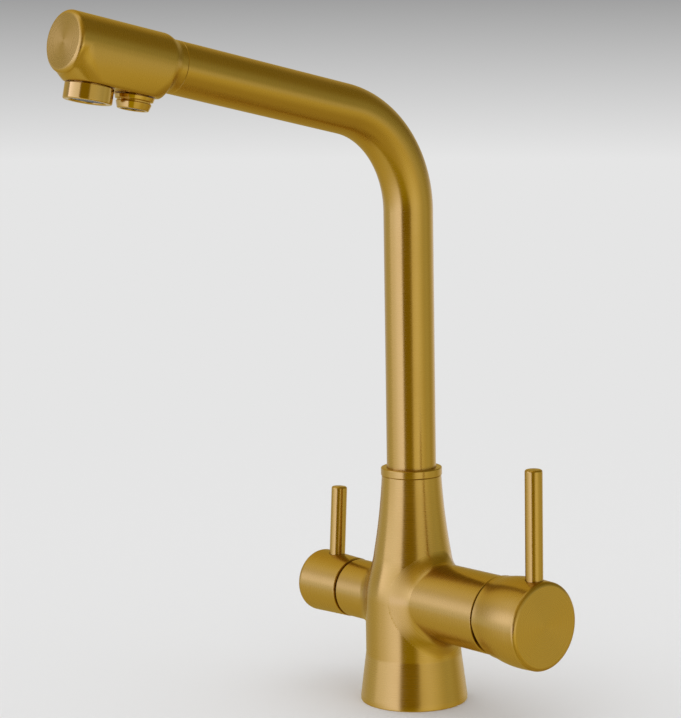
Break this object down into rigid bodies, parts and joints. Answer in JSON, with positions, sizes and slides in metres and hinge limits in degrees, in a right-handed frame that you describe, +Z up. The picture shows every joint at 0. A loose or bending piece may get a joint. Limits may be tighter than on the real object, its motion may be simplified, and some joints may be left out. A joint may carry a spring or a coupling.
{
  "type": "kitchen tap",
  "caption": "Kitchen tap with a mixer lever on one side, a filtered-water lever on the other, and a swivelling bent spout whose head carries both outlets.",
  "frame": {"origin": "centre of the foot's underside, on the worktop", "axes": "+Z up along the column and the spout's swivel; +X along the mixer branch, out towards its handle; -Y the way the spout reaches at rest"},
  "size_m": [0.1628, 0.2268, 0.3396],
  "materials": {
    "brushed_brass": "brushed",
    "polished_brass": "polished",
    "raw_brass": "machined",
    "stainless": "machined",
    "rubber": "matte",
    "ceramic": "lapped",
    "acetal": "moulded",
    "grey_plastic": "moulded",
    "hose_plastic": "extruded"
  },
  "bodies": {
    "body": {"body_casting": "brushed_brass", "base_gasket": "rubber", "collar_ring": "brushed_brass", "slip_ring": "acetal", "swivel_screw": "stainless", "filter_hose_oring": "rubber", "cartridge_seal": "rubber", "cartridge_housing": "acetal", "fixed_ceramic_disc": "ceramic", "cartridge_nut": "raw_brass", "valve_seat_seal": "rubber", "filter_valve": "raw_brass", "valve_oring": "rubber", "valve_fixed_disc": "ceramic"},
    "spout": {"spout_shank": "raw_brass", "shank_oring_1": "rubber", "shank_oring_2": "rubber", "spout_tube": "brushed_brass", "filter_hose": "hose_plastic", "outlet_head": "brushed_brass", "head_oring": "rubber", "aerator_gasket": "rubber", "aerator_housing": "polished_brass", "aerator_insert": "grey_plastic", "filter_nozzle": "polished_brass", "filter_flow_insert": "grey_plastic"},
    "mixer_turn": {"cartridge_carrier": "grey_plastic", "cartridge_pin": "stainless"},
    "mixer_disc": {"moving_ceramic_disc": "ceramic"},
    "mixer_handle": {"mixer_stem": "raw_brass", "mixer_hub": "brushed_brass", "mixer_lever": "brushed_brass", "mixer_hub_screw": "stainless"},
    "filter_handle": {"filter_spindle": "raw_brass", "spindle_clip": "stainless", "valve_turning_disc": "ceramic", "filter_knob": "brushed_brass", "filter_lever": "brushed_brass", "filter_knob_screw": "stainless"}
  },
  "joints": [
    {"name": "spout_swivel", "type": "hinge", "parent": "body", "child": "spout", "pos_m": [0, 0, 0.09], "axis": [0, 0, 1], "continuous": true},
    {"name": "mixer_temperature", "type": "hinge", "parent": "body", "child": "mixer_turn", "pos_m": [0.046, 0, 0.0522], "axis": [1, 0, 0], "range_deg": [-45, 45]},
    {"name": "mixer_flow", "type": "hinge", "parent": "mixer_turn", "child": "mixer_handle", "pos_m": [0.046, 0, 0.0522], "axis": [0, 1, 0], "range_deg": [0, 14]},
    {"name": "mixer_disc_slide", "type": "slide", "parent": "mixer_turn", "child": "mixer_disc", "axis": [0, 0, 1], "range_m": [0, 0.00166]},
    {"name": "filter_quarter_turn", "type": "hinge", "parent": "body", "child": "filter_handle", "pos_m": [-0.05, 0, 0.0488], "axis": [1, 0, 0], "range_deg": [0, 90]}
  ],
  "couplings": [
    {"joint": "mixer_disc_slide", "follows": "mixer_flow", "m_per_rad": 0.00673}
  ]
}
